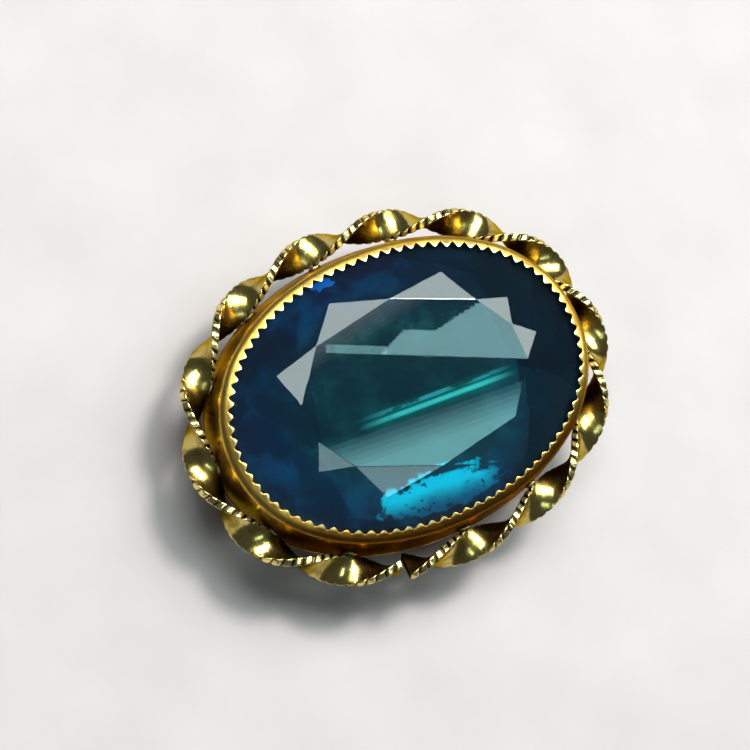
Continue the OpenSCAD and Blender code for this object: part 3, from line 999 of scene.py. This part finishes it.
def make_camera():
    """The camera that sees the brooch as the photo does."""
    data = bpy.data.cameras.new("camera")
    data.sensor_width = SENSOR
    data.lens = SENSOR / 2 / math.tan(FIELD_OF_VIEW / 2)
    data.clip_start, data.clip_end = 1 * MM, 10.0
    camera = bpy.data.objects.new("camera", data)
    back = camera_turn().inverted()
    place = back @ Vector((CAMERA_AIM.x, CAMERA_AIM.y, CAMERA_DISTANCE)) + Vector((0, 0, AIM_Z))
    camera.matrix_world = Matrix.Translation(place) @ back.to_4x4()
    bpy.context.scene.collection.objects.link(camera)
    bpy.context.scene.camera = camera
    return camera


def area_light(name, place, across, up, size, radiance, color, shape="RECTANGLE"):
    """A flat light at a place, with its sides along across and up."""
    data = bpy.data.lights.new(name, "AREA")
    data.shape = shape
    data.size, data.size_y = size
    data.energy = radiance * math.pi * size[0] * size[1]
    data.color = color
    ob = bpy.data.objects.new(name, data)
    turn = Matrix((across, up, across.cross(up))).transposed()
    ob.matrix_world = Matrix.Translation(place) @ turn.to_4x4()
    ob.visible_camera = False
    bpy.context.scene.collection.objects.link(ob)


def softbox(name, right, up, distance, size, radiance, color, shape="RECTANGLE"):
    """A soft light aimed at the stone from an angle to the right and up from straight above it,
    both in degrees as the camera sees them."""
    tilt, around = math.radians(math.hypot(right, up)), math.atan2(up, right) - CAMERA_ROLL
    facing = Vector((math.sin(tilt) * math.cos(around), math.sin(tilt) * math.sin(around),
                     math.cos(tilt)))
    view_up = Vector((math.sin(CAMERA_ROLL), math.cos(CAMERA_ROLL), 0))
    across = view_up.cross(facing).normalized()
    area_light(name, facing * distance, across, facing.cross(across), size, radiance, color, shape)


def table_light(name, camera, right, up, width, height, lean, radiance, color):
    """A light that the stone's table mirrors to the camera as a pale strip. right and up give the
    strip's middle from the table's middle, and lean its turn from level."""
    eye = camera.matrix_world.translation.copy()
    eye.z = 2 * table_z - eye.z
    turn = Matrix.Rotation(-CAMERA_ROLL, 3, "Z")
    lean_turn = Matrix.Rotation(math.radians(lean), 3, "Z")
    spot = Vector((0, 0, table_z)) + turn @ Vector((right, up, 0))
    side = turn @ lean_turn @ Vector((1, 0, 0))
    ray = (spot - eye).normalized()
    place = spot + ray * MIRROR_DISTANCE
    grow = (place - eye).length / (spot - eye).length
    across = (side - ray * side.dot(ray)).normalized()
    area_light(name, place, across, ray.cross(across).normalized(),
               (width * grow, height * grow), radiance, color)


def make_world():
    """A dim room, slightly blue."""
    world = bpy.data.worlds.new("studio")
    world.use_nodes = True
    background = world.node_tree.nodes["Background"]
    background.inputs["Color"].default_value = (0.88, 0.94, 1.0, 1)
    background.inputs["Strength"].default_value = 0.09
    bpy.context.scene.world = world


def upper_reflection(camera):
    """The pale area in the table's upper half, as level strips. Their left ends follow its sloping
    edge, which jumps to the right at a step."""
    strips, right = 16, 7.5 * MM
    foot, step, head = 1.23 * MM, 2.48 * MM, 3.95 * MM
    height = (head - foot) / strips
    for k in range(strips):
        middle = lerp(foot, head, (k + 0.5) / strips)
        left = lerp(-1.5 * MM, -0.3 * MM, (middle - foot) / (step - foot))
        if middle >= step:
            left = lerp(1.2 * MM, 3.4 * MM, (middle - step) / (head - step))
        table_light("table_strip_%d" % k, camera, (left + right) / 2, middle, right - left, height,
                    0, 6.2, PALE_CYAN)


def table_reflections(camera):
    """What the table mirrors: the upper area, a narrow strip at its left, and two wide areas whose
    edges are soft, because each of their lights lies a little further out than the last."""
    upper_reflection(camera)
    for k in range(5):
        table_light("sheen_%d" % k, camera, -2.6 * MM, (3.6 + 0.28 * k) * MM, 7 * MM, 3.0 * MM,
                    32, 0.3, (0.9, 1.0, 1.0))
    table_light("left_strip", camera, -2.8 * MM, 1.42 * MM, 2.8 * MM, 0.38 * MM, 0, 4.6, PALE_CYAN)
    for k in range(6):
        table_light("lower_panel_%d" % k, camera, 0.8 * MM, (-3.8 - 0.26 * k) * MM, 12 * MM,
                    4.6 * MM, 19, 1.1, (0.40, 1.0, 1.0))


def make_light(camera):
    """The room, three soft lights and what the table mirrors."""
    make_world()
    softbox("key_softbox", 15, 29, 0.40, (0.62, 0.20), 8.0, (0.88, 1.0, 0.97))
    softbox("key_core", 17, 27, 0.39, (0.10, 0.08), 45.0, (1.0, 0.98, 0.92), "ELLIPSE")
    softbox("low_softbox", 6, -20, 0.40, (0.21, 0.06), 4.0, (0.7, 1.0, 1.0))
    table_reflections(camera)
    bpy.context.scene.view_settings.view_transform = "Standard"


make_floor()
make_light(make_camera())
